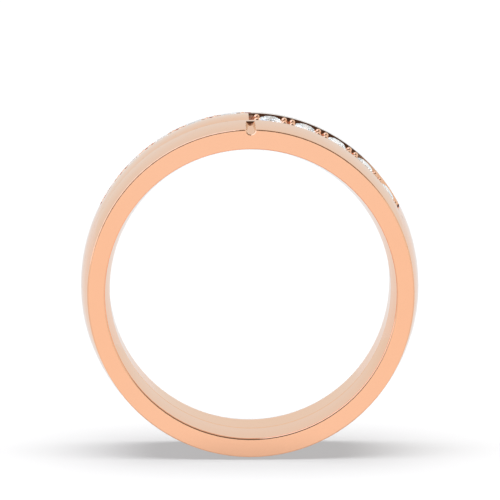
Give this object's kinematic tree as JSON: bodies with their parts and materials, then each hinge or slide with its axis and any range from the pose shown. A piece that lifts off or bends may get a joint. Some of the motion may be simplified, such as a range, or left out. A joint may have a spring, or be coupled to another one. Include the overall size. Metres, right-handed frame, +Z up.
{
  "type": "wedding band",
  "caption": "Rose-gold finger ring of three hoops, with two rows of round brilliants in stepped channels at the top and a small notch at each side.",
  "frame": {"origin": "centre of the finger bore, halfway across the band's width", "axes": "+Y along the finger, from the front rail to the back rail; +Z up to the stones at the top; +X to the right seen from the front"},
  "size_m": [0.0208, 0.0082, 0.021],
  "materials": {
    "rose_gold": "polished",
    "diamond": "faceted, polished"
  },
  "bodies": {
    "root": {"front_rail": "rose_gold", "centre_band": "rose_gold", "back_rail": "rose_gold", "stone_right_1": "diamond", "stone_right_2": "diamond", "stone_right_3": "diamond", "stone_right_4": "diamond", "stone_right_5": "diamond", "stone_left_1": "diamond", "stone_left_2": "diamond", "stone_left_3": "diamond", "stone_left_4": "diamond", "stone_left_5": "diamond"}
  },
  "joints": []
}
